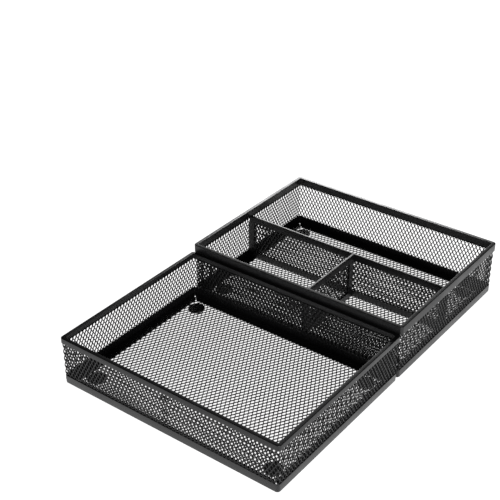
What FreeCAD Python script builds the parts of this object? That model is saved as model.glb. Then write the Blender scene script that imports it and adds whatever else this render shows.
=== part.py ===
"""Two-tray mesh drawer organizer: a shallow open tray and a taller tray with dividers.

Every length is in millimetres and comes from the spreadsheet "dims". The trays stand side by
side on Z = 0, with +X along their width and +Y towards the rear. The origin is under the
middle of the pair.
"""

import FreeCAD, Part
import Sketcher
import os

# Driving dimensions, by alias.
DIMENSIONS = {
    "base_width": 228.0,        # outside of the bottom frame, along X
    "base_depth": 176.0,        # outside of the bottom frame, along Y
    "front_height": 48.0,       # shallow tray, table to top of rim
    "rear_height": 55.0,        # divided tray, table to top of rim
    "tray_gap": 0.6,            # between the two rims
    "foot_radius": 8.0,
    "foot_rise": 1.6,           # table to underside of the floor sheet
    "foot_edge": 0.5,
    "foot_across": 95.0,        # foot centre from the middle of the tray, along X
    "foot_along": 68.0,         # foot centre from the middle of the tray, along Y
    "frame_strip": 0.8,         # thickness of the bottom frame's steel
    "frame_height": 7.8,
    "flange_width": 10.0,
    "corner_radius": 3.0,
    "slit_width": 1.0,          # open mitre in the flange
    "slit_start": 3.0,          # where the slit begins, in from the outside
    "sheet": 0.5,               # expanded metal, as a plain sheet
    "seam_width": 6.0,          # overlap where the wall strip meets itself
    "rim_strip": 0.6,
    "rim_width": 3.4,
    "front_rim_height": 5.2,
    "rear_rim_height": 8.0,
    "divider_drop": 5.5,        # top of rim to top of the dividers
    "rail_strip": 0.5,
    "rail_width": 2.4,
    "rail_height": 7.0,
    "long_offset": -3.0,        # long divider from the middle of the tray, along Y
    "cross_offset": 12.0,       # cross divider from the middle of the tray, along X
    "tab_width": 5.0,           # tab that joins the cross divider to the front rim
    "tab_root": 2.0,            # tab below the top of its rail
    "tab_rise": 1.0,            # tab above the top of its rail
    "reach": 20.0,              # how far a mitre wedge reaches in from the outside
    "spare": 2.0,               # how far a cutter overruns what it cuts
}

# Side of a tray: (name, turn about Z in degrees, length runs along X).
SIDES = (("front", 0, True), ("right", 90, False), ("back", 180, True), ("left", 270, False))

# What the two ends of a divider are called, by the axis it is thin along.
END_NAMES = {1: {"first": "left", "second": "right"}, 0: {"first": "front", "second": "back"}}

# Expressions that several pieces share.
WALL_OUTER_INSET = "dims.frame_strip"
WALL_INNER_INSET = "(dims.frame_strip + dims.sheet)"
RIM_OUTSET = "(dims.rim_width / 2 - dims.frame_strip - dims.sheet / 2)"
RIM_INSET = "(dims.rim_width / 2 + dims.frame_strip + dims.sheet / 2)"
TRAY_SHIFT = "(dims.base_depth / 2 + " + RIM_OUTSET + " + dims.tray_gap / 2)"
RIM_REACH = "(%s - %s)" % (RIM_INSET, WALL_INNER_INSET)
FRAME_BOTTOM = "(dims.foot_rise - dims.frame_strip)"
FLOOR_TOP = "(dims.foot_rise + dims.sheet)"

doc = FreeCAD.newDocument("drawer_organizer")
sheet = doc.addObject("Spreadsheet::Sheet", "dims")
sub_parts = []


def fill_sheet():
    """Write each driving dimension as plain text, and give its cell an alias."""
    for row, (alias, value) in enumerate(DIMENSIONS.items(), start=1):
        sheet.set("A%d" % row, alias)
        sheet.set("B%d" % row, str(value))
        sheet.setAlias("B%d" % row, alias)
    doc.recompute()


def place(item, x="0", y="0", z="0"):
    """Bind an object's position to three expressions."""
    for axis, text in zip("xyz", (x, y, z)):
        item.setExpression("Placement.Base." + axis, text)
    return item


def box(name, low, high):
    """Box between two corners, each given as three expressions."""
    item = doc.addObject("Part::Box", name)
    for size, start, end in zip(("Length", "Width", "Height"), low, high):
        item.setExpression(size, "(%s) - (%s)" % (end, start))
    return place(item, *low)


def centred_box(name, centre_y, inset, bottom, top):
    """Box over a tray's plan, pulled in by inset on every side."""
    half_x = "(dims.base_width / 2 - %s)" % inset
    half_y = "(dims.base_depth / 2 - %s)" % inset
    low = ("-" + half_x, "%s - %s" % (centre_y, half_y), bottom)
    high = (half_x, "%s + %s" % (centre_y, half_y), top)
    return box(name, low, high)


def cut(name, base, tool):
    """Base less tool."""
    item = doc.addObject("Part::Cut", name)
    item.Base = base
    item.Tool = tool
    return item


def fuse(name, pieces):
    """All pieces as one solid."""
    item = doc.addObject("Part::MultiFuse", name)
    item.Shapes = pieces
    item.Refine = True
    return item


def common(name, first, second):
    """What two shapes share."""
    item = doc.addObject("Part::Common", name)
    item.Base = first
    item.Tool = second
    return item


def upright_edges(shape):
    """Numbers of a box's four vertical edges."""
    numbers = []
    for number, edge in enumerate(shape.Edges, start=1):
        start, end = edge.Vertexes[0].Point, edge.Vertexes[-1].Point
        if abs(start.x - end.x) < 1e-6 and abs(start.y - end.y) < 1e-6:
            numbers.append(number)
    return numbers


def round_corners(name, item, radius):
    """Round a box's four vertical edges."""
    doc.recompute()
    rounded = doc.addObject("Part::Fillet", name)
    rounded.Base = item
    rounded.Edges = [(number, radius, radius) for number in upright_edges(item.Shape)]
    return rounded


def keep(item, node):
    """Mark an object as a sub-part: its label names its node and its file."""
    item.Label = node
    sub_parts.append(item)
    return item


def mitre_wedge(name, centre_y, turn, along_x):
    """Block over one side of a tray, ending at the two 45 degree mitre planes."""
    half_length, half_depth = ("dims.base_width / 2", "dims.base_depth / 2")
    if not along_x:
        half_length, half_depth = half_depth, half_length
    item = doc.addObject("Part::Wedge", name)
    sizes = {
        "Xmin": "-%s - dims.spare" % half_length, "Xmax": "%s + dims.spare" % half_length,
        "X2min": "-%s + dims.reach" % half_length, "X2max": "%s - dims.reach" % half_length,
        "Ymin": "-%s - dims.spare" % half_depth, "Ymax": "-%s + dims.reach" % half_depth,
        "Zmin": "-dims.spare", "Z2min": "-dims.spare",
        "Zmax": "dims.rear_height + dims.spare", "Z2max": "dims.rear_height + dims.spare",
    }
    for size, text in sizes.items():
        item.setExpression(size, text)
    item.Placement.Rotation = FreeCAD.Rotation(FreeCAD.Vector(0, 0, 1), turn)
    return place(item, y=centre_y)


def four_sides(tray, piece, ring, centre_y):
    """Split a ring at its mitres into the four lengths it is made of."""
    for side, turn, along_x in SIDES:
        wedge = mitre_wedge("%s_%s_wedge_%s" % (tray, piece, side), centre_y, turn, along_x)
        node = "%s_tray_%s_%s" % (tray, piece, side)
        keep(common(node, ring, wedge), node)


def corner_slits(tray, centre_y):
    """Four thin diagonal boxes that open the flange's mitres."""
    slits = []
    for across in (-1, 1):
        for along in (-1, 1):
            item = doc.addObject("Part::Box", "%s_slit_%d" % (tray, len(slits)))
            item.setExpression("Length", "dims.flange_width * 1.5")
            item.setExpression("Width", "dims.slit_width")
            item.setExpression("Height", "2 * dims.foot_rise")
            inward = {(-1, -1): 45, (1, -1): 135, (1, 1): 225, (-1, 1): 315}[(across, along)]
            turn = FreeCAD.Rotation(FreeCAD.Vector(0, 0, 1), inward)
            item.Placement.Rotation = turn
            side = turn.multVec(FreeCAD.Vector(0, -0.5, 0))
            reach = "(dims.base_width / 2 - dims.slit_start)"
            depth = "(dims.base_depth / 2 - dims.slit_start)"
            place(item,
                  "%d * %s + dims.slit_width * %.6f" % (across, reach, side.x),
                  "%s + %d * %s + dims.slit_width * %.6f" % (centre_y, along, depth, side.y),
                  "-dims.foot_rise / 2")
            slits.append(item)
    return fuse(tray + "_slits", slits)


def bottom_frame(tray, centre_y):
    """L-section frame: an upright leg round the outside and a flange under the floor."""
    top = FRAME_BOTTOM + " + dims.frame_height"
    outside = centred_box(tray + "_frame_block", centre_y, "0", FRAME_BOTTOM, top)
    outside = round_corners(tray + "_frame_rounded", outside, DIMENSIONS["corner_radius"])
    inside = centred_box(tray + "_frame_inside", centre_y, WALL_OUTER_INSET,
                         "dims.foot_rise", top + " + dims.spare")
    opening = centred_box(tray + "_frame_opening", centre_y, "dims.flange_width",
                          "-dims.spare", "dims.foot_rise + dims.spare")
    hollow = fuse(tray + "_frame_hollow", [inside, opening])
    ring = cut(tray + "_frame_ring", outside, hollow)
    ring = cut(tray + "_frame_slit", ring, corner_slits(tray, centre_y))
    four_sides(tray, "frame", ring, centre_y)


def rim(tray, centre_y, height, rim_height):
    """Folded channel that straddles the top edge of the walls."""
    web = "%s - dims.rim_strip" % height
    lip = "%s - %s" % (height, rim_height)
    outside = centred_box(tray + "_rim_block", centre_y, "-" + RIM_OUTSET, lip, height)
    opening = centred_box(tray + "_rim_opening", centre_y, RIM_INSET,
                          lip + " - dims.spare", height + " + dims.spare")
    band = cut(tray + "_rim_band", outside, opening)
    groove_out = centred_box(tray + "_rim_groove_out", centre_y,
                             "(dims.rim_strip - %s)" % RIM_OUTSET, lip + " - dims.spare", web)
    groove_in = centred_box(tray + "_rim_groove_in", centre_y,
                            "(%s - dims.rim_strip)" % RIM_INSET, lip + " - 2 * dims.spare",
                            height + " + dims.spare")
    groove = cut(tray + "_rim_groove", groove_out, groove_in)
    four_sides(tray, "rim", cut(tray + "_rim_ring", band, groove), centre_y)


def walls(tray, centre_y, height):
    """Expanded-metal strip round the tray, as four flat runs; the front run has the overlap."""
    half_x, half_y = "dims.base_width / 2", "dims.base_depth / 2"
    low, high = "dims.foot_rise", "%s - dims.rim_strip" % height
    for side, sign in (("front", -1), ("back", 1)):
        outer = "%s + %d * (%s - %s)" % (centre_y, sign, half_y, WALL_OUTER_INSET)
        inner = "%s + %d * (%s - %s)" % (centre_y, sign, half_y, WALL_INNER_INSET)
        first, second = (outer, inner) if sign < 0 else (inner, outer)
        node = "%s_tray_wall_%s" % (tray, side)
        panel = box(node, ("-(%s - %s)" % (half_x, WALL_OUTER_INSET), first, low),
                    ("%s - %s" % (half_x, WALL_OUTER_INSET), second, high))
        if side == "front":
            panel.Label = node + "_run"
            flap = box(tray + "_seam_flap", ("-dims.seam_width / 2", inner, FLOOR_TOP),
                       ("dims.seam_width / 2", inner + " + dims.sheet",
                        height + " - dims.rear_rim_height"))
            panel = fuse(node + "_lapped", [panel, flap])
        keep(panel, node)
    for side, sign in (("left", -1), ("right", 1)):
        outer = "%d * (%s - %s)" % (sign, half_x, WALL_OUTER_INSET)
        inner = "%d * (%s - %s)" % (sign, half_x, WALL_INNER_INSET)
        first, second = (outer, inner) if sign < 0 else (inner, outer)
        node = "%s_tray_wall_%s" % (tray, side)
        reach = "(%s - %s)" % (half_y, WALL_INNER_INSET)
        keep(box(node, (first, "%s - %s" % (centre_y, reach), low),
                 (second, "%s + %s" % (centre_y, reach), high)), node)


def floor_sheet(tray, centre_y):
    """Expanded-metal floor that lies on the bottom frame's flange."""
    node = tray + "_tray_floor_mesh"
    keep(centred_box(node, centre_y, WALL_INNER_INSET, "dims.foot_rise", FLOOR_TOP), node)


def foot(node, x, y):
    """Round rubber pad with a softened lower edge."""
    body = doc.addObject("PartDesign::Body", node)
    plane = [item for item in body.Origin.OriginFeatures if item.Role == "XY_Plane"][0]
    sketch = body.newObject("Sketcher::SketchObject", node + "_outline")
    sketch.AttachmentSupport = [(plane, "")]
    sketch.MapMode = "FlatFace"
    circle = Part.Circle(FreeCAD.Vector(0, 0, 0), FreeCAD.Vector(0, 0, 1), 1)
    sketch.addGeometry(circle, False)
    sketch.addConstraint(Sketcher.Constraint("Coincident", 0, 3, -1, 1))
    radius = sketch.addConstraint(Sketcher.Constraint("Radius", 0, DIMENSIONS["foot_radius"]))
    sketch.setExpression("Constraints[%d]" % radius, "dims.foot_radius")
    pad = body.newObject("PartDesign::Pad", node + "_pad")
    pad.Profile = sketch
    pad.setExpression("Length", "dims.foot_rise")
    doc.recompute()
    chamfer = body.newObject("PartDesign::Chamfer", node + "_edge")
    chamfer.Base = (pad, [lowest_edge(pad.Shape)])
    chamfer.setExpression("Size", "dims.foot_edge")
    body.Tip = chamfer
    sketch.Visibility = False
    place(body, x, y)
    keep(body, node)


def lowest_edge(shape):
    """Name of the edge that lies lowest."""
    heights = [edge.BoundBox.ZMax for edge in shape.Edges]
    return "Edge%d" % (heights.index(min(heights)) + 1)


def feet(tray, centre_y):
    """One pad near each corner."""
    for side_x, across in (("left", -1), ("right", 1)):
        for side_y, along in (("front", -1), ("back", 1)):
            foot("%s_tray_foot_%s_%s" % (tray, side_y, side_x),
                 "%d * dims.foot_across" % across,
                 "%s + %d * dims.foot_along" % (centre_y, along))


def channel(node, low, high, thin_axis, open_axis, opens_up, extra=()):
    """Folded channel between two corners, open along one axis.

    thin_axis is the axis across the channel, and the folded strip leaves one side open.
    """
    outside = box(node + "_block", low, high)
    inner_low, inner_high = list(low), list(high)
    inner_low[thin_axis] = low[thin_axis] + " + dims.rail_strip"
    inner_high[thin_axis] = high[thin_axis] + " - dims.rail_strip"
    if opens_up:
        inner_low[open_axis] = low[open_axis] + " + dims.rail_strip"
        inner_high[open_axis] = high[open_axis] + " + dims.spare"
    else:
        inner_low[open_axis] = low[open_axis] + " - dims.spare"
        inner_high[open_axis] = high[open_axis] + " - dims.rail_strip"
    run_axis = 3 - thin_axis - open_axis
    inner_low[run_axis] = low[run_axis] + " - dims.spare"
    inner_high[run_axis] = high[run_axis] + " + dims.spare"
    folded = cut(node + "_folded", outside, box(node + "_inside", inner_low, inner_high))
    if extra:
        folded = fuse(node + "_with_tab", [folded] + list(extra))
    keep(folded, node)


def divider(name, low, high, thin_axis, gaps, extra=()):
    """Mesh panel held in four folded channels.

    low and high are its outer corners, and gaps say how far its top rail stops short of each end.
    """
    run_axis = 1 - thin_axis
    bottom_high, top_low, top_high = list(high), list(low), list(high)
    bottom_high[2] = low[2] + " + dims.rail_height"
    top_low[2] = high[2] + " - dims.rail_height"
    top_low[run_axis] = "%s + %s" % (low[run_axis], gaps[0])
    top_high[run_axis] = "%s - %s" % (high[run_axis], gaps[1])
    channel(name + "_bottom_rail", low, bottom_high, thin_axis, 2, True)
    channel(name + "_top_rail", top_low, top_high, thin_axis, 2, False, extra)
    for end in ("first", "second"):
        post_low, post_high = list(low), list(high)
        post_low[2], post_high[2] = bottom_high[2], top_low[2]
        if end == "first":
            post_high[run_axis] = low[run_axis] + " + dims.rail_height"
        else:
            post_low[run_axis] = high[run_axis] + " - dims.rail_height"
        side = END_NAMES[thin_axis][end]
        channel("%s_%s_post" % (name, side), post_low, post_high, thin_axis, run_axis,
                end == "first")
    mesh_low, mesh_high = list(low), list(high)
    mesh_low[run_axis] = "%s + %s + dims.rail_strip" % (low[run_axis], gaps[0])
    mesh_high[run_axis] = "%s - %s - dims.rail_strip" % (high[run_axis], gaps[1])
    mesh_low[2] = low[2] + " + dims.rail_strip"
    mesh_high[2] = high[2] + " - dims.rail_strip"
    middle = "(%s + %s) / 2" % (low[thin_axis], high[thin_axis])
    mesh_low[thin_axis] = middle + " - dims.sheet / 2"
    mesh_high[thin_axis] = middle + " + dims.sheet / 2"
    keep(box(name + "_mesh", mesh_low, mesh_high), name + "_mesh")


def dividers(centre_y):
    """Long divider across the rear tray, and a cross divider in front of it."""
    half_x = "(dims.base_width / 2 - %s)" % WALL_INNER_INSET
    top = "dims.rear_height - dims.divider_drop"
    middle = "%s + dims.long_offset" % centre_y
    long_low = ("-" + half_x, middle + " - dims.rail_width / 2", FLOOR_TOP)
    long_high = (half_x, middle + " + dims.rail_width / 2", top)
    divider("long_divider", long_low, long_high, 1, (RIM_REACH, RIM_REACH))
    front = "%s - dims.base_depth / 2 + %s" % (centre_y, WALL_INNER_INSET)
    rim_face = "%s + %s" % (front, RIM_REACH)
    cross_low = ("dims.cross_offset - dims.rail_width / 2", front, FLOOR_TOP)
    cross_high = ("dims.cross_offset + dims.rail_width / 2", long_low[1], top)
    tab = box("cross_tab",
              ("dims.cross_offset - dims.tab_width / 2", rim_face, top + " - dims.tab_root"),
              ("dims.cross_offset + dims.tab_width / 2", rim_face + " + dims.rail_strip",
               top + " + dims.tab_rise"))
    divider("cross_divider", cross_low, cross_high, 0, (RIM_REACH, "0"), extra=[tab])


def tray(name, centre_y, height, rim_height):
    """Every piece of one tray."""
    bottom_frame(name, centre_y)
    floor_sheet(name, centre_y)
    walls(name, centre_y, height)
    rim(name, centre_y, height, rim_height)
    feet(name, centre_y)


def check_and_write():
    """Stop on any failed object or bad shape, then write one STEP file per sub-part."""
    doc.recompute()
    for item in doc.Objects:
        if "Invalid" in item.State or "Error" in item.State:
            raise RuntimeError("%s did not recompute: %s" % (item.Name, item.State))
    for item in sub_parts:
        if item.Shape.isNull() or not item.Shape.isValid() or not item.Shape.Solids:
            raise RuntimeError("%s has no valid solid" % item.Label)
    os.makedirs("parts", exist_ok=True)
    for item in sub_parts:
        item.Shape.exportStep("parts/%s.step" % item.Label)
        print("%-34s %9.1f mm3  %d solid" % (item.Label, item.Shape.Volume,
                                             len(item.Shape.Solids)))


fill_sheet()
tray("front", "-" + TRAY_SHIFT, "dims.front_height", "dims.front_rim_height")
tray("rear", TRAY_SHIFT, "dims.rear_height", "dims.rear_rim_height")
dividers(TRAY_SHIFT)
check_and_write()
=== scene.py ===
"""Looks of a two-tray mesh drawer organizer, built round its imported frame.

Lengths are in metres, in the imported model's own frame. Each folded strip, mesh panel and foot
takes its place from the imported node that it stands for.
"""

import logging
import math
from contextlib import contextmanager
from dataclasses import dataclass, field
from enum import Enum
from typing import Callable, Iterator

import bpy
from mathutils import Matrix, Vector

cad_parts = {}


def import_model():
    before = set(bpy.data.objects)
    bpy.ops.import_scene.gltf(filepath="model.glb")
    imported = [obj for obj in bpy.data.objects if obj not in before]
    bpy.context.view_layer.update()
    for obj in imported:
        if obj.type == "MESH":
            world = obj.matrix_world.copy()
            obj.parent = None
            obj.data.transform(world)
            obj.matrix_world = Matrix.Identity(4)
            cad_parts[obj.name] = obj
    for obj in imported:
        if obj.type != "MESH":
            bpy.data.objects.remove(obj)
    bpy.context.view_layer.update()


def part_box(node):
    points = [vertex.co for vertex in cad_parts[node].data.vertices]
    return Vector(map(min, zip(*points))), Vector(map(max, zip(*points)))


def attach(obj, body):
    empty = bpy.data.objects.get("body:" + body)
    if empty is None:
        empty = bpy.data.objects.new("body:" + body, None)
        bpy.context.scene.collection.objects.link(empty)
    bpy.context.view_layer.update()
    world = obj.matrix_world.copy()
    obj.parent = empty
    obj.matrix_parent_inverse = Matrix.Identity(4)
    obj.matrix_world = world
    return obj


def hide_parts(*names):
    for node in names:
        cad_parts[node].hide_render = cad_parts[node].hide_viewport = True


log = logging.getLogger("organizer")

MM = 0.001
UP = Vector((0.0, 0.0, 1.0))
FACING = 0.9        # least share of a face's normal along an axis for it to face that way
NEARLY = 0.99       # share of a length past which a point counts as at its end
SPARE_ROWS = 3      # extra rows of openings, so that a sheet always covers its panel


# ---------------------------------------------------------------------------------------------
# Working on a mesh as by hand
# ---------------------------------------------------------------------------------------------

class SelectMode(Enum):
    """What an edit-mode selection is made of, as the tool setting's three switches."""

    VERTICES = (True, False, False)
    EDGES = (False, True, False)
    FACES = (False, False, True)


def activate(piece: bpy.types.Object) -> None:
    """Make one piece the only selected object and the active one.

    Args:
        piece: The object that the next operators act on.
    """
    bpy.ops.object.select_all(action="DESELECT")
    piece.select_set(True)
    bpy.context.view_layer.objects.active = piece


@contextmanager
def editing(piece: bpy.types.Object) -> Iterator[None]:
    """Hold a piece in edit mode, and leave it again afterwards.

    Args:
        piece: The object to edit.
    """
    activate(piece)
    bpy.ops.object.mode_set(mode="EDIT")
    try:
        yield
    finally:
        bpy.ops.object.mode_set(mode="OBJECT")


def _choose(piece: bpy.types.Object, mode: SelectMode, chosen: Callable[[], None]) -> None:
    """Clear the selection, run a function that marks elements, and return to edit mode.

    Args:
        piece: The object in edit mode.
        mode: What kind of element is being marked.
        chosen: Marks the elements through the mesh's select flags.
    """
    bpy.ops.mesh.select_all(action="DESELECT")
    bpy.ops.object.mode_set(mode="OBJECT")
    chosen()
    bpy.context.tool_settings.mesh_select_mode = mode.value
    bpy.ops.object.mode_set(mode="EDIT")


def pick_faces(piece: bpy.types.Object, test: Callable[[Vector, Vector], bool]) -> None:
    """Select the faces whose centre and normal pass a test.

    Args:
        piece: The object in edit mode.
        test: Takes a face's centre and normal.
    """
    def mark() -> None:
        for face in piece.data.polygons:
            face.select = test(face.center, face.normal)

    _choose(piece, SelectMode.FACES, mark)


def pick_edges(piece: bpy.types.Object, test: Callable[[Vector, Vector], bool]) -> None:
    """Select the edges whose two ends pass a test.

    Args:
        piece: The object in edit mode.
        test: Takes the places of an edge's two ends.
    """
    def mark() -> None:
        points = piece.data.vertices
        for edge in piece.data.edges:
            first, second = edge.vertices
            edge.select = test(points[first].co, points[second].co)

    _choose(piece, SelectMode.EDGES, mark)


def pick_vertices(piece: bpy.types.Object, test: Callable[[Vector], bool]) -> None:
    """Select the vertices whose place passes a test.

    Args:
        piece: The object in edit mode.
        test: Takes a vertex's place.
    """
    def mark() -> None:
        for vertex in piece.data.vertices:
            vertex.select = test(vertex.co)

    _choose(piece, SelectMode.VERTICES, mark)


def move(x: float = 0.0, y: float = 0.0, z: float = 0.0) -> None:
    """Move what is selected in edit mode."""
    bpy.ops.transform.translate(value=(x, y, z))


def stretch(x: float = 1.0, y: float = 1.0, z: float = 1.0) -> None:
    """Scale what is selected in edit mode, about the origin."""
    bpy.ops.transform.resize(value=(x, y, z), center_override=(0.0, 0.0, 0.0))


def push_in(depth: float) -> None:
    """Extrude the selected faces along Z.

    Args:
        depth: How far they go, up if positive.
    """
    bpy.ops.mesh.extrude_region_move(TRANSFORM_OT_translate={"value": (0.0, 0.0, depth)})


def start_block(name: str, size: Vector) -> bpy.types.Object:
    """Cube primitive at its finished size, centred on the origin.

    Args:
        name: The object's name.
        size: Its three lengths.

    Returns:
        The new object.
    """
    bpy.ops.object.select_all(action="DESELECT")
    bpy.ops.mesh.primitive_cube_add(size=1.0)
    block = bpy.context.object
    block.name = block.data.name = name
    block.scale = size
    bpy.ops.object.transform_apply(location=False, rotation=False, scale=True)
    return block


def apply_modifiers(piece: bpy.types.Object) -> None:
    """Apply a piece's modifiers in order."""
    activate(piece)
    for name in [modifier.name for modifier in piece.modifiers]:
        bpy.ops.object.modifier_apply(modifier=name)


def soften(piece: bpy.types.Object, width: float, smooth_to: float = 40.0) -> None:
    """Round a piece's hard edges a little, as coating does, and shade it by angle.

    Args:
        piece: The object.
        width: How wide the rounding is.
        smooth_to: Faces that meet at less than this many degrees are shaded as one.
    """
    bevel = piece.modifiers.new("soften", "BEVEL")
    bevel.width = width
    bevel.segments = 1
    bevel.limit_method = "ANGLE"
    bevel.angle_limit = math.radians(40.0)
    bevel.harden_normals = False
    apply_modifiers(piece)
    bpy.ops.object.shade_smooth_by_angle(angle=math.radians(smooth_to))


def cut_away(piece: bpy.types.Object, cutter: bpy.types.Object) -> None:
    """Take a cutter's volume out of a piece, and remove the cutter.

    Args:
        piece: The object to cut.
        cutter: The closed object that is taken away.
    """
    boolean = piece.modifiers.new("cut", "BOOLEAN")
    boolean.operation = "DIFFERENCE"
    boolean.solver = "EXACT"
    boolean.object = cutter
    apply_modifiers(piece)
    bpy.data.objects.remove(cutter, do_unlink=True)


def settle(piece: bpy.types.Object, place: Matrix) -> bpy.types.Object:
    """Move a piece to its place and put that place in its mesh.

    Args:
        piece: The object, at the origin.
        place: Where it goes.

    Returns:
        The same object, at the origin again.
    """
    activate(piece)
    piece.matrix_world = place
    bpy.ops.object.transform_apply(location=True, rotation=True, scale=True)
    return piece


def twin(piece: bpy.types.Object, name: str) -> bpy.types.Object:
    """Copy of a piece with a mesh of its own.

    Args:
        piece: The object to copy.
        name: The copy's name.

    Returns:
        The copy.
    """
    copy = piece.copy()
    copy.data = piece.data.copy()
    copy.name = copy.data.name = name
    bpy.context.collection.objects.link(copy)
    return copy


def merge(pieces: list[bpy.types.Object]) -> bpy.types.Object:
    """Join objects into the first of them."""
    bpy.ops.object.select_all(action="DESELECT")
    for piece in pieces:
        piece.select_set(True)
    bpy.context.view_layer.objects.active = pieces[0]
    bpy.ops.object.join()
    return pieces[0]


def axes_at(run: Vector, normal: Vector, place: Vector) -> Matrix:
    """Matrix that turns local X to run and local Z to normal.

    Args:
        run: World direction of local X.
        normal: World direction of local Z, square to run.
        place: Where the local origin goes.

    Returns:
        The matrix.
    """
    side = normal.cross(run)
    turned = Matrix((run, side, normal)).transposed().to_4x4()
    return Matrix.Translation(place) @ turned


def node_box(node: str) -> tuple[Vector, Vector]:
    """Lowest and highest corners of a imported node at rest."""
    low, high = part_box(node)
    return Vector(low), Vector(high)


def joint_box(nodes: list[str]) -> tuple[Vector, Vector]:
    """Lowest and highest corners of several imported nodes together."""
    boxes = [node_box(node) for node in nodes]
    low = Vector(min(box[0][axis] for box in boxes) for axis in range(3))
    high = Vector(max(box[1][axis] for box in boxes) for axis in range(3))
    return low, high


# ---------------------------------------------------------------------------------------------
# Finishes
# ---------------------------------------------------------------------------------------------

def coat_grain_group() -> bpy.types.NodeTree:
    """Shader group for a sprayed and baked coating: fine peel, and slow patches.

    Returns:
        The node group, built once.
    """
    name = "coat_grain"
    if name in bpy.data.node_groups:
        return bpy.data.node_groups[name]
    group = bpy.data.node_groups.new(name, "ShaderNodeTree")
    sockets = group.interface
    sockets.new_socket("Vector", in_out="INPUT", socket_type="NodeSocketVector")
    peel = sockets.new_socket("Peel Scale", in_out="INPUT", socket_type="NodeSocketFloat")
    peel.default_value = 1500.0
    patch = sockets.new_socket("Patch Scale", in_out="INPUT", socket_type="NodeSocketFloat")
    patch.default_value = 40.0
    sockets.new_socket("Height", in_out="OUTPUT", socket_type="NodeSocketFloat")
    sockets.new_socket("Patches", in_out="OUTPUT", socket_type="NodeSocketFloat")
    nodes, links = group.nodes, group.links
    source = nodes.new("NodeGroupInput")
    result = nodes.new("NodeGroupOutput")
    fine = nodes.new("ShaderNodeTexNoise")
    fine.inputs["Detail"].default_value = 2.0
    fine.inputs["Roughness"].default_value = 0.45
    dimples = nodes.new("ShaderNodeTexVoronoi")
    dimples.feature = "SMOOTH_F1"
    slow = nodes.new("ShaderNodeTexNoise")
    slow.inputs["Detail"].default_value = 3.0
    blend = nodes.new("ShaderNodeMix")
    blend.data_type = "FLOAT"
    blend.inputs["Factor"].default_value = 0.35
    links.new(source.outputs["Vector"], fine.inputs["Vector"])
    links.new(source.outputs["Peel Scale"], fine.inputs["Scale"])
    links.new(source.outputs["Vector"], dimples.inputs["Vector"])
    links.new(source.outputs["Peel Scale"], dimples.inputs["Scale"])
    links.new(source.outputs["Vector"], slow.inputs["Vector"])
    links.new(source.outputs["Patch Scale"], slow.inputs["Scale"])
    links.new(fine.outputs["Fac"], blend.inputs["A"])
    links.new(dimples.outputs["Distance"], blend.inputs["B"])
    links.new(blend.outputs["Result"], result.inputs["Height"])
    links.new(slow.outputs["Fac"], result.inputs["Patches"])
    return group


@dataclass(frozen=True)
class Finish:
    """A surface finish: two close tones, a roughness range and a fine relief."""

    name: str
    tone: tuple[float, float, float]
    second_tone: tuple[float, float, float]
    roughness: tuple[float, float]
    peel_scale: float
    patch_scale: float
    relief: float
    specular: float = 0.5

    def material(self) -> bpy.types.Material:
        """Build the material, or return the one already built.

        Returns:
            The material.
        """
        if self.name in bpy.data.materials:
            return bpy.data.materials[self.name]
        material = bpy.data.materials.new(self.name)
        material.use_nodes = True
        nodes, links = material.node_tree.nodes, material.node_tree.links
        surface = nodes["Principled BSDF"]
        place = nodes.new("ShaderNodeTexCoord")
        grain = nodes.new("ShaderNodeGroup")
        grain.node_tree = coat_grain_group()
        grain.inputs["Peel Scale"].default_value = self.peel_scale
        grain.inputs["Patch Scale"].default_value = self.patch_scale
        tones = nodes.new("ShaderNodeMix")
        tones.data_type = "RGBA"
        tones.inputs["A"].default_value = (*self.tone, 1.0)
        tones.inputs["B"].default_value = (*self.second_tone, 1.0)
        gloss = nodes.new("ShaderNodeMapRange")
        gloss.inputs["From Min"].default_value = 0.3
        gloss.inputs["From Max"].default_value = 0.7
        gloss.inputs["To Min"].default_value = self.roughness[0]
        gloss.inputs["To Max"].default_value = self.roughness[1]
        relief = nodes.new("ShaderNodeBump")
        relief.inputs["Strength"].default_value = 0.6
        relief.inputs["Distance"].default_value = self.relief
        links.new(place.outputs["Object"], grain.inputs["Vector"])
        links.new(grain.outputs["Patches"], tones.inputs["Factor"])
        links.new(grain.outputs["Patches"], gloss.inputs["Value"])
        links.new(grain.outputs["Height"], relief.inputs["Height"])
        links.new(tones.outputs["Result"], surface.inputs["Base Color"])
        links.new(gloss.outputs["Result"], surface.inputs["Roughness"])
        links.new(relief.outputs["Normal"], surface.inputs["Normal"])
        surface.inputs["Specular IOR Level"].default_value = self.specular
        return material


STRIP_COAT = Finish("satin_black_strip", (0.008, 0.008, 0.0085), (0.013, 0.013, 0.014),
                    (0.3, 0.42), 1500.0, 45.0, 0.03 * MM, 0.4)
MESH_COAT = Finish("satin_black_mesh", (0.007, 0.007, 0.0075), (0.012, 0.012, 0.013),
                   (0.38, 0.5), 1800.0, 60.0, 0.02 * MM, 0.28)
PAD_RUBBER = Finish("pad_rubber", (0.03, 0.03, 0.03), (0.045, 0.045, 0.044),
                    (0.62, 0.8), 900.0, 150.0, 0.06 * MM, 0.35)


class Slot(Enum):
    """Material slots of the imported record."""

    STRIP = "coated_strip"
    MESH = "expanded_metal"
    PAD = "foot_rubber"


FINISHES: dict[Slot, Finish] = {Slot.STRIP: STRIP_COAT, Slot.MESH: MESH_COAT,
                                Slot.PAD: PAD_RUBBER}


def dress(piece: bpy.types.Object, slot: Slot, body: str, nodes: list[str]) -> None:
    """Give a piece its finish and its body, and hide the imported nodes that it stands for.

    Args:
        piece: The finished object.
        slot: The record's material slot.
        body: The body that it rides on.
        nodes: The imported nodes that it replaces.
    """
    piece.data.materials.clear()
    piece.data.materials.append(FINISHES[slot].material())
    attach(piece, body)
    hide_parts(*nodes)
    log.info("%s: %d faces, rides on %s", piece.name, len(piece.data.polygons), body)


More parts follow.
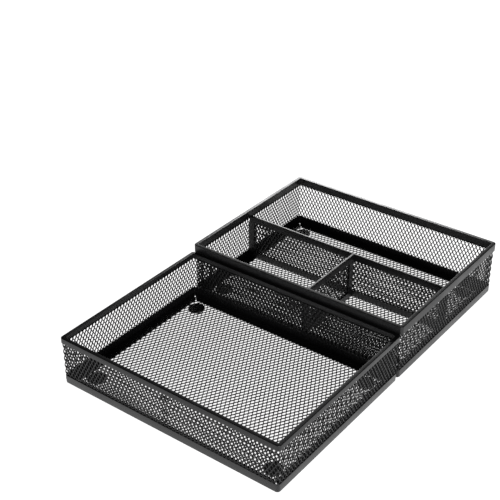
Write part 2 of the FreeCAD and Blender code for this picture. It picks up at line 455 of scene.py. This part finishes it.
# ---------------------------------------------------------------------------------------------
# Stock that the trays are made of
# ---------------------------------------------------------------------------------------------

@dataclass(frozen=True)
class ExpandedSheet:
    """Expanded steel: staggered openings with slanted strands between short bonds."""

    short_way: float = 4.0 * MM
    long_way: float = 7.0 * MM
    bond: float = 1.2 * MM
    strand: float = 0.55 * MM
    thickness: float = 0.8 * MM
    lean: float = 0.1 * MM

    def one_opening(self) -> bpy.types.Object:
        """Model one opening's ring of metal, long way along Y, centred on the origin.

        Returns:
            A flat ring of six faces, each leaning as the slit metal does.
        """
        bpy.ops.object.select_all(action="DESELECT")
        bpy.ops.mesh.primitive_circle_add(vertices=6, radius=1.0, fill_type="NGON")
        ring = bpy.context.object
        half_way = self.short_way / 2
        ring.scale = (half_way / math.cos(math.radians(30.0)), self.bond, 1.0)
        bpy.ops.object.transform_apply(location=False, rotation=False, scale=True)
        tip = (self.long_way - self.bond) / 2
        with editing(ring):
            pick_vertices(ring, lambda point: abs(point.x) < half_way / 10)
            stretch(y=tip / self.bond)
            bpy.ops.mesh.select_all(action="SELECT")
            bpy.ops.mesh.inset(thickness=self.strand / 2)
            stretch(x=(half_way - self.strand) / (half_way - self.strand / 2))
            bpy.ops.mesh.delete(type="ONLY_FACE")
            for side in (-1, 1):
                pick_vertices(ring, lambda point: half_way / 10 < point.x * side
                              < half_way - self.strand / 2)
                move(z=side * self.lean)
        return ring

    def panel(self, name: str, width: float, height: float, phase: float = 0.0,
              rise: float = 0.0) -> bpy.types.Object:
        """Cut a panel with its lower left corner on the origin, in the XY plane.

        Args:
            name: The object's name.
            width: Length along X, across the openings.
            height: Length along Y, along the openings.
            phase: How far along the strip the panel starts.
            rise: How far up the sheet the panel starts.

        Returns:
            The panel.
        """
        panel = self.one_opening()
        panel.name = panel.data.name = name
        with editing(panel):
            bpy.ops.mesh.select_all(action="SELECT")
            bpy.ops.mesh.duplicate()
            move(x=self.short_way / 2, y=self.long_way / 2)
            bpy.ops.mesh.select_all(action="SELECT")
            move(x=-self.short_way - phase % self.short_way,
                 y=-self.long_way - rise % self.long_way)
        for label, step, reach in (("across", Vector((self.short_way, 0, 0)), width),
                                   ("along", Vector((0, self.long_way, 0)), height)):
            rows = panel.modifiers.new(label, "ARRAY")
            rows.use_relative_offset = False
            rows.use_constant_offset = True
            rows.constant_offset_displace = step
            rows.count = math.ceil(reach / step.length) + SPARE_ROWS
        apply_modifiers(panel)
        edges = (((0, 0, 0), (-1, 0, 0)), ((width, 0, 0), (1, 0, 0)),
                 ((0, 0, 0), (0, -1, 0)), ((0, height, 0), (0, 1, 0)))
        with editing(panel):
            bpy.ops.mesh.select_all(action="SELECT")
            bpy.ops.mesh.remove_doubles(threshold=self.strand / 20)
            bpy.ops.mesh.normals_make_consistent(inside=False)
            for point, outward in edges:
                bpy.ops.mesh.select_all(action="SELECT")
                bpy.ops.mesh.bisect(plane_co=point, plane_no=outward, clear_outer=True)
        solid = panel.modifiers.new("thickness", "SOLIDIFY")
        solid.thickness = self.thickness
        solid.offset = 0.0
        apply_modifiers(panel)
        with editing(panel):
            bpy.ops.mesh.select_all(action="SELECT")
            bpy.ops.mesh.normals_make_consistent(inside=False)
        return panel


WALL_SHEET = ExpandedSheet()
FLOOR_SHEET = ExpandedSheet(thickness=0.64 * MM)
DIVIDER_SHEET = ExpandedSheet(strand=0.72 * MM)


@dataclass(frozen=True)
class FoldedStrip:
    """Steel strip folded into a channel that grips the edge of a mesh sheet."""

    strip: float = 0.6 * MM
    fold: float = 0.55 * MM
    softness: float = 0.07 * MM

    def channel(self, name: str, length: float, width: float,
                height: float) -> bpy.types.Object:
        """Fold a channel that runs along X and opens down, with its web's top on Z = 0.

        Args:
            name: The object's name.
            length: Length along X.
            width: Width along Y.
            height: Height of the two legs.

        Returns:
            The channel.
        """
        piece = start_block(name, Vector((length, width, height)))
        half = height / 2
        with editing(piece):
            pick_faces(piece, lambda centre, normal: normal.z < -FACING)
            bpy.ops.mesh.inset(thickness=self.strip)
            push_in(height - self.strip)
            pick_edges(piece, lambda first, second: min(first.z, second.z) > half * NEARLY
                       and abs(first.y - second.y) < width / 10
                       and abs(first.y) > width / 2 * NEARLY)
            bpy.ops.mesh.bevel(offset=self.fold, segments=3, affect="EDGES")
            bpy.ops.mesh.select_all(action="SELECT")
            move(z=-half)
        soften(piece, self.softness)
        return piece


# ---------------------------------------------------------------------------------------------
# Sub-assemblies
# ---------------------------------------------------------------------------------------------

class Side(Enum):
    """A tray's four sides, each with the direction in which its strips run."""

    FRONT = ("front", (1, 0, 0))
    RIGHT = ("right", (0, 1, 0))
    BACK = ("back", (-1, 0, 0))
    LEFT = ("left", (0, -1, 0))

    @property
    def label(self) -> str:
        """The word for this side in node names."""
        return self.value[0]

    @property
    def run(self) -> Vector:
        """Direction of the strip, anticlockwise round the tray."""
        return Vector(self.value[1])


@dataclass
class Tray:
    """One tray: bottom frame, floor, walls, rim and feet."""

    name: str
    sheet: ExpandedSheet = WALL_SHEET
    floor_sheet: ExpandedSheet = FLOOR_SHEET
    rim_strip: FoldedStrip = field(default_factory=FoldedStrip)
    frame_strip: float = 0.8 * MM
    flange_width: float = 10.0 * MM
    corner_radius: float = 3.0 * MM
    rim_width: float = 3.4 * MM
    frame_fold: float = 0.7 * MM
    slit_width: float = 1.0 * MM
    slit_start: float = 3.0 * MM
    sheet_room: float = 0.5 * MM
    seam_width: float = 6.0 * MM
    seam_top_gap: float = 8.0 * MM
    lap_phase: float = 1.6 * MM
    lap_rise: float = 1.75 * MM

    @property
    def body(self) -> str:
        """The body that every piece of this tray rides on."""
        return self.name

    def node(self, piece: str, side: str) -> str:
        """Name of one of this tray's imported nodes."""
        return "%s_%s_%s" % (self.name, piece, side)

    def build(self) -> None:
        """Model and dress every piece of the tray."""
        self.build_frame()
        self.build_floor()
        self.build_walls()
        self.build_rim()
        self.build_feet()

    def build_frame(self) -> None:
        """Fold the bottom frame: an upright leg outside, a flange with slit mitres inside."""
        nodes = [self.node("frame", side.label) for side in Side]
        low, high = joint_box(nodes)
        size, centre = high - low, (high + low) / 2
        half = size / 2
        ring = start_block(self.name + "_bottom_frame", size)
        with editing(ring):
            pick_edges(ring, lambda first, second: abs(first.z - second.z) > half.z)
            bpy.ops.mesh.bevel(offset=self.corner_radius, segments=6, affect="EDGES")
            pick_faces(ring, lambda middle, normal: normal.z > FACING)
            bpy.ops.mesh.inset(thickness=self.frame_strip)
            push_in(self.frame_strip - size.z)
            pick_edges(ring, lambda first, second: max(first.z, second.z) < -half.z * NEARLY)
            bpy.ops.mesh.bevel(offset=self.frame_fold, segments=3, affect="EDGES")
        opening = Vector((size.x - 2 * self.flange_width, size.y - 2 * self.flange_width,
                          2 * size.z))
        cut_away(ring, start_block("opening", opening))
        slit_length = self.flange_width * 1.5
        slit_depth = self.frame_strip * 6
        for across in (-1, 1):
            for along in (-1, 1):
                slit = start_block("slit", Vector((slit_length, self.slit_width, slit_depth)))
                inward = Vector((-across, -along, 0)).normalized()
                corner = Vector((across * (half.x - self.slit_start),
                                 along * (half.y - self.slit_start), -half.z))
                middle = corner + inward * slit_length / 2
                cut_away(ring, settle(slit, axes_at(inward, UP, middle)))
        soften(ring, self.rim_strip.softness)
        dress(settle(ring, Matrix.Translation(centre)), Slot.STRIP, self.body, nodes)

    def build_floor(self) -> None:
        """Cut the floor mesh, its openings running front to back."""
        node = self.name + "_floor_mesh"
        low, high = node_box(node)
        floor = self.floor_sheet.panel(self.name + "_floor", high.x - low.x, high.y - low.y)
        place = Vector((low.x, low.y, (low.z + high.z) / 2))
        dress(settle(floor, Matrix.Translation(place)), Slot.MESH, self.body, [node])

    def build_walls(self) -> None:
        """Run the wall strip round the tray, openings upright, and lap its ends in front."""
        travelled = 0.0
        for side in Side:
            node = self.node("wall", side.label)
            low, high = node_box(node)
            length = abs((high - low).dot(side.run))
            outward = side.run.cross(UP)
            corner = Vector(low[axis] if side.run[axis] >= 0 else high[axis] for axis in range(3))
            for axis in range(2):
                if outward[axis]:
                    face = high[axis] if outward[axis] > 0 else low[axis]
                    corner[axis] = face - outward[axis] * self.sheet_room / 2
            corner.z = low.z
            height = high.z - low.z
            wall = self.sheet.panel("%s_%s_wall" % (self.name, side.label), length, height,
                                    travelled)
            settle(wall, axes_at(side.run, outward, corner))
            if side is Side.FRONT:
                lap = self.sheet.panel("lap", self.seam_width, height - self.seam_top_gap,
                                       self.lap_phase, self.lap_rise)
                start = corner - outward * self.sheet_room
                start.x = (low.x + high.x - self.seam_width) / 2
                wall = merge([wall, settle(lap, axes_at(side.run, outward, start))])
            dress(wall, Slot.MESH, self.body, [node])
            travelled += length

    def build_rim(self) -> None:
        """Bend the channel that grips the top of the walls right round the tray."""
        nodes = [self.node("rim", side.label) for side in Side]
        low, high = joint_box(nodes)
        size = high - low
        half = size / 2
        width = self.rim_width
        inner = Vector((half.x - width * NEARLY, half.y - width * NEARLY, 0))
        ring = start_block(self.name + "_rim", size)
        with editing(ring):
            pick_edges(ring, lambda first, second: abs(first.z - second.z) > half.z)
            bpy.ops.mesh.bevel(offset=self.corner_radius, segments=6, affect="EDGES")
            pick_faces(ring, lambda middle, normal: abs(normal.z) > FACING)
            bpy.ops.mesh.inset(thickness=width)
            bpy.ops.mesh.delete(type="ONLY_FACE")
            pick_vertices(ring, lambda point: abs(point.x) < inner.x and abs(point.y) < inner.y)
            bpy.ops.mesh.bridge_edge_loops()
            pick_faces(ring, lambda middle, normal: normal.z < -FACING)
            bpy.ops.mesh.inset(thickness=self.rim_strip.strip)
            push_in(size.z - self.rim_strip.strip)
            pick_edges(ring, lambda first, second: min(first.z, second.z) > half.z * NEARLY
                       and not 0.6 * width < (first - second).length < 2 * width)
            bpy.ops.mesh.bevel(offset=self.rim_strip.fold, segments=3, affect="EDGES")
        soften(ring, self.rim_strip.softness)
        dress(settle(ring, Matrix.Translation((low + high) / 2)), Slot.STRIP, self.body, nodes)

    def build_feet(self) -> None:
        """Mould one rubber pad, and set a copy of it under each corner."""
        low, high = node_box(self.node("foot", "front_left"))
        master = rubber_pad("pad_master", (high.x - low.x) / 2, high.z - low.z)
        for corner in ("front_left", "front_right", "back_left", "back_right"):
            node = self.node("foot", corner)
            low, high = node_box(node)
            pad = twin(master, "%s_%s_pad" % (self.name, corner))
            place = Matrix.Translation((low + high) / 2)
            dress(settle(pad, place), Slot.PAD, self.body, [node])
        bpy.data.objects.remove(master, do_unlink=True)


def rubber_pad(name: str, radius: float, height: float) -> bpy.types.Object:
    """Round pad with a dished underside and softened edges, centred on the origin.

    Args:
        name: The object's name.
        radius: Its radius.
        height: Its height.

    Returns:
        The pad.
    """
    tread, dish, rounding = radius * 0.3, height * 0.2, height * 0.28
    bpy.ops.object.select_all(action="DESELECT")
    bpy.ops.mesh.primitive_cylinder_add(vertices=40, radius=radius, depth=height)
    pad = bpy.context.object
    pad.name = pad.data.name = name
    with editing(pad):
        pick_faces(pad, lambda centre, normal: normal.z < -FACING)
        bpy.ops.mesh.inset(thickness=tread)
        push_in(dish)
        pick_faces(pad, lambda centre, normal: normal.z > FACING)
        bpy.ops.mesh.inset(thickness=radius * 0.12)
        bpy.ops.mesh.inset(thickness=radius * 0.1)
        bpy.ops.mesh.select_all(action="DESELECT")
        pick_edges(pad, lambda first, second: max(first.z, second.z) < -height / 2 * NEARLY
                   and min(first.length, second.length) > radius * NEARLY)
        bpy.ops.mesh.bevel(offset=rounding, segments=3, affect="EDGES")
    soften(pad, height * 0.06)
    return pad


@dataclass
class Divider:
    """Upright mesh panel held in four folded channels."""

    name: str
    body: str
    run: Vector
    ends: tuple[str, str]
    sheet: ExpandedSheet = DIVIDER_SHEET
    strip: FoldedStrip = field(default_factory=lambda: FoldedStrip(0.5 * MM, 0.45 * MM))
    rail_height: float = 7.0 * MM
    tab_root: float = 2.0 * MM

    def build(self) -> None:
        """Model and dress the panel, its two rails and its two posts."""
        self.build_rail("top_rail", UP)
        self.build_rail("bottom_rail", -UP)
        self.build_post(self.ends[0], -self.run)
        self.build_post(self.ends[1], self.run)
        self.build_panel()

    def build_rail(self, label: str, web: Vector) -> None:
        """Fold a rail that runs the length of the divider, with a tab if its node has one.

        Args:
            label: The rail's word in its node's name.
            web: Direction that its closed side faces.
        """
        node = "%s_%s" % (self.name, label)
        low, high = node_box(node)
        post_low, post_high = node_box("%s_%s_post" % (self.name, self.ends[0]))
        panel_low, panel_high = node_box(self.name + "_mesh")
        across = self.run.cross(UP)
        length = abs((high - low).dot(self.run))
        width = abs((post_high - post_low).dot(across))
        middle = (low + high) / 2 if web.z > 0 else (panel_low + panel_high) / 2
        middle.z = post_high.z + self.rail_height if web.z > 0 else low.z
        rail = self.strip.channel(node + "_strip", length, width, self.rail_height)
        settle(rail, axes_at(self.run, web, middle))
        if high.z > middle.z + self.strip.strip and web.z > 0:
            rail = merge([rail, self.joining_tab(low, high, middle)])
        dress(rail, Slot.STRIP, self.body, [node])

    def joining_tab(self, low: Vector, high: Vector, middle: Vector) -> bpy.types.Object:
        """Flat tab at the near end of a rail, standing up against the wall.

        Args:
            low: Lowest corner of the rail's node.
            high: Highest corner of the rail's node.
            middle: Middle of the rail's closed side.

        Returns:
            The tab.
        """
        bottom = middle.z - self.tab_root
        size = Vector((high.x - low.x, self.strip.strip, high.z - bottom))
        tab = start_block("tab", size)
        soften(tab, self.strip.softness)
        place = Vector((middle.x, low.y + size.y / 2, bottom + size.z / 2))
        return settle(tab, Matrix.Translation(place))

    def build_post(self, label: str, web: Vector) -> None:
        """Fold an upright post at one end of the divider.

        Args:
            label: The post's word in its node's name.
            web: Direction that its closed side faces.
        """
        node = "%s_%s_post" % (self.name, label)
        low, high = node_box(node)
        size = high - low
        width = abs(size.dot(self.run.cross(UP)))
        post = self.strip.channel(node + "_strip", size.z, width, abs(size.dot(self.run)))
        middle = (low + high) / 2 + web * abs(size.dot(self.run)) / 2
        dress(settle(post, axes_at(UP, web, middle)), Slot.STRIP, self.body, [node])

    def build_panel(self) -> None:
        """Cut the divider's mesh."""
        node = self.name + "_mesh"
        low, high = node_box(node)
        across = self.run.cross(UP)
        length = abs((high - low).dot(self.run))
        corner = Vector(low)
        for axis in range(2):
            if abs(across[axis]) > 0.5:
                corner[axis] = (low[axis] + high[axis]) / 2
        panel = self.sheet.panel(self.name + "_panel", length, high.z - low.z)
        dress(settle(panel, axes_at(self.run, across, corner)), Slot.MESH, self.body, [node])


# ---------------------------------------------------------------------------------------------
# Studio
# ---------------------------------------------------------------------------------------------

@dataclass(frozen=True)
class Softbox:
    """A square area light that faces the object."""

    name: str
    place: tuple[float, float, float]
    size: float
    power: float

    def hang(self, aim: Vector) -> None:
        """Put the light in the scene, turned towards a point."""
        lamp = bpy.data.lights.new(self.name, "AREA")
        lamp.size = self.size
        lamp.energy = self.power
        holder = bpy.data.objects.new(self.name, lamp)
        holder.location = self.place
        holder.rotation_euler = (aim - Vector(self.place)).to_track_quat("-Z", "Y").to_euler()
        bpy.context.collection.objects.link(holder)


@dataclass
class Studio:
    """Plain pale floor, soft light and the camera."""

    azimuth: float = 37.09
    elevation: float = 31.14
    distance: float = 1.102
    aim: tuple[float, float, float] = (-0.1004, 0.0710, 0.0198)
    lens: float = 78.78
    floor_reach: float = 12.0
    floor_tone: float = 0.8
    floor_glow: float = 1.0
    surroundings: float = 0.02
    softboxes: tuple[Softbox, ...] = (
        Softbox("right", (1.0, -0.75, 0.3), 0.6, 8.0),
        Softbox("back", (-0.75, 1.25, 0.45), 0.6, 12.0),
    )

    def build(self) -> None:
        """Set up the floor, the lights and the camera."""
        self.lay_floor()
        world = bpy.data.worlds.new("studio")
        world.use_nodes = True
        backdrop = world.node_tree.nodes["Background"]
        backdrop.inputs["Color"].default_value = (1.0, 1.0, 1.0, 1.0)
        backdrop.inputs["Strength"].default_value = self.surroundings
        bpy.context.scene.world = world
        bpy.context.scene.view_settings.view_transform = "Standard"
        for softbox in self.softboxes:
            softbox.hang(Vector((0.0, 0.0, 0.03)))
        self.place_camera()

    def lay_floor(self) -> None:
        """Lay a pale floor under the object."""
        bpy.ops.object.select_all(action="DESELECT")
        bpy.ops.mesh.primitive_plane_add(size=2 * self.floor_reach)
        floor = bpy.context.object
        floor.name = "studio_floor"
        paint = bpy.data.materials.new("pale_floor")
        paint.use_nodes = True
        surface = paint.node_tree.nodes["Principled BSDF"]
        surface.inputs["Base Color"].default_value = (*[self.floor_tone] * 3, 1.0)
        surface.inputs["Roughness"].default_value = 0.9
        surface.inputs["Specular IOR Level"].default_value = 0.1
        surface.inputs["Emission Color"].default_value = (1.0, 1.0, 1.0, 1.0)
        surface.inputs["Emission Strength"].default_value = self.floor_glow
        floor.data.materials.append(paint)

    def place_camera(self) -> None:
        """Put the camera at its angle and distance from the point it looks at."""
        lens = bpy.data.cameras.new("camera")
        lens.lens = self.lens
        lens.clip_end = 50.0
        camera = bpy.data.objects.new("camera", lens)
        turn, tilt = math.radians(self.azimuth), math.radians(self.elevation)
        back = Vector((math.sin(turn) * math.cos(tilt), -math.cos(turn) * math.cos(tilt),
                       math.sin(tilt)))
        camera.location = Vector(self.aim) + back * self.distance
        camera.rotation_euler = (math.pi / 2 - tilt, 0.0, turn)
        bpy.context.collection.objects.link(camera)
        bpy.context.scene.camera = camera


def main() -> None:
    """Load the frame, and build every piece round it."""
    logging.basicConfig(level=logging.INFO, format="%(name)s: %(message)s")
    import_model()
    for name in ("front_tray", "rear_tray"):
        Tray(name).build()
    Divider("long_divider", "rear_tray", Vector((1, 0, 0)), ("left", "right")).build()
    Divider("cross_divider", "rear_tray", Vector((0, 1, 0)), ("front", "back")).build()
    Studio().build()


if __name__ == "__main__":
    main()
